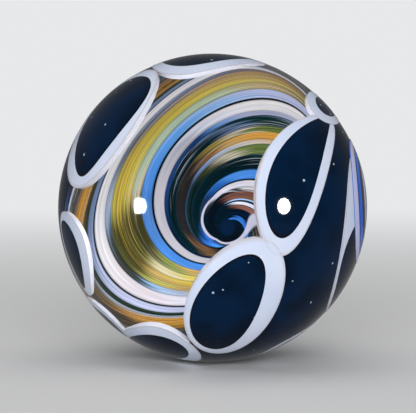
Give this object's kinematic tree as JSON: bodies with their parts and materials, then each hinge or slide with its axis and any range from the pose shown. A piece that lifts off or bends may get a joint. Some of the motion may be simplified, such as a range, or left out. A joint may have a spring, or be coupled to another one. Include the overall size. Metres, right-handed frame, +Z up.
{
  "type": "glass marble",
  "caption": "Solid glass display marble with a twisted vortex of coloured canes under a clear lens and stacked dots round the mouth; a collectable or a paperweight.",
  "frame": {"origin": "centre of the ball", "axes": "+Z up as the marble is displayed; the mouth of the vortex faces -Y and looks about 12 degrees upward"},
  "size_m": [0.044, 0.044, 0.044],
  "materials": {
    "navy_glass": "opaque coloured glass, polished",
    "clear_glass": "polished clear glass",
    "black_glass": "opaque coloured glass, polished",
    "white_glass": "opaque coloured glass, polished",
    "slate_glass": "opaque coloured glass, polished",
    "amber_glass": "opaque coloured glass, polished",
    "gold_glass": "opaque coloured glass, polished",
    "olive_glass": "opaque coloured glass, polished",
    "pale_green_glass": "opaque coloured glass, polished",
    "sky_glass": "opaque coloured glass, polished",
    "cobalt_glass": "opaque coloured glass, polished",
    "teal_glass": "opaque coloured glass, polished",
    "brown_glass": "opaque coloured glass, polished",
    "orange_glass": "opaque coloured glass, polished",
    "lilac_glass": "opaque coloured glass, polished",
    "moss_glass": "opaque coloured glass, polished",
    "rust_glass": "opaque coloured glass, polished",
    "mint_glass": "opaque coloured glass, polished",
    "green_glass": "opaque coloured glass, polished"
  },
  "bodies": {
    "root": {"backing": "navy_glass", "clear_lens": "clear_glass", "black_line_1": "black_glass", "white_cane_1": "white_glass", "slate_cane": "slate_glass", "amber_cane_1": "amber_glass", "gold_cane": "gold_glass", "olive_cane": "olive_glass", "pale_green_cane": "pale_green_glass", "sky_cane_1": "sky_glass", "black_line_2": "black_glass", "white_cane_2": "white_glass", "cobalt_cane": "cobalt_glass", "teal_cane_1": "teal_glass", "brown_cane": "brown_glass", "orange_cane": "orange_glass", "lilac_cane_1": "lilac_glass", "moss_cane": "moss_glass", "teal_cane_2": "teal_glass", "sky_cane_2": "sky_glass", "black_line_3": "black_glass", "white_cane_3": "white_glass", "rust_cane": "rust_glass", "navy_cane": "navy_glass", "amber_cane_2": "amber_glass", "mint_line": "mint_glass", "green_cane": "green_glass", "lilac_cane_2": "lilac_glass", "right_dot_white": "white_glass", "low_dot_white": "white_glass", "upper_left_dot_white": "white_glass", "top_dot_white": "white_glass", "upper_right_dot_white": "white_glass", "left_dot_white": "white_glass", "bottom_dot_white": "white_glass", "lower_left_dot_white": "white_glass", "side_dot_white": "white_glass", "under_dot_white": "white_glass", "back_dot_1_white": "white_glass", "back_dot_2_white": "white_glass", "back_dot_3_white": "white_glass", "right_dot_navy": "navy_glass", "low_dot_navy": "navy_glass", "upper_left_dot_navy": "navy_glass", "top_dot_navy": "navy_glass", "upper_right_dot_navy": "navy_glass", "left_dot_navy": "navy_glass", "bottom_dot_navy": "navy_glass", "lower_left_dot_navy": "navy_glass", "side_dot_navy": "navy_glass", "under_dot_navy": "navy_glass", "back_dot_1_navy": "navy_glass", "back_dot_2_navy": "navy_glass", "back_dot_3_navy": "navy_glass", "window_lilac": "lilac_glass", "window_blue": "sky_glass", "window_brown": "brown_glass", "window_white": "white_glass", "window_cobalt": "cobalt_glass"}
  },
  "joints": []
}
